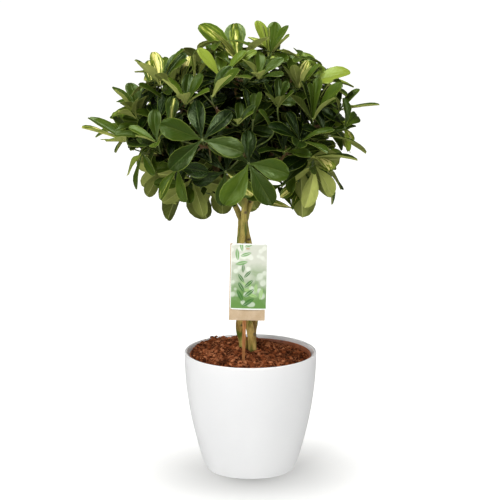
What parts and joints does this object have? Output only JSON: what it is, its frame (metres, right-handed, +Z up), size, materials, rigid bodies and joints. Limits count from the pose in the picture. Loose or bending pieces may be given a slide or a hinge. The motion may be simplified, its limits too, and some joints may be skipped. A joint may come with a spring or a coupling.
{
  "type": "potted umbrella plant",
  "caption": "Umbrella plant with a plaited trunk and a round crown of leaflets in fans, in a nursery pot inside a plain round planter, with a plant label on a stick.",
  "frame": {"origin": "middle of the planter's flat base, where it stands on the floor", "axes": "+Z up along the planter's axis, +X to the right and -Y to the front, where the label is"},
  "size_m": [0.4873, 0.376, 0.7542],
  "materials": {
    "planter_plastic": "satin",
    "nursery_plastic": "matte",
    "soil": "matte",
    "bark": "matte",
    "foliage": "satin",
    "stick_wood": "matte",
    "board": "matte",
    "card": "satin"
  },
  "bodies": {
    "root": {"pot": "planter_plastic", "grow_pot": "nursery_plastic", "soil": "soil", "stem_right": "bark", "stem_left": "bark", "stem_middle": "bark", "shoot_01": "foliage", "shoot_02": "foliage", "shoot_03": "foliage", "shoot_04": "foliage", "shoot_05": "foliage", "shoot_06": "foliage", "shoot_07": "foliage", "shoot_08": "foliage", "shoot_09": "foliage", "shoot_10": "foliage", "shoot_11": "foliage", "shoot_12": "foliage", "shoot_13": "foliage", "shoot_14": "foliage", "shoot_15": "foliage", "shoot_16": "foliage", "shoot_17": "foliage", "shoot_18": "foliage", "shoot_19": "foliage", "shoot_20": "foliage", "label_stick": "stick_wood", "label_board": "board", "label_card": "card"}
  },
  "joints": []
}
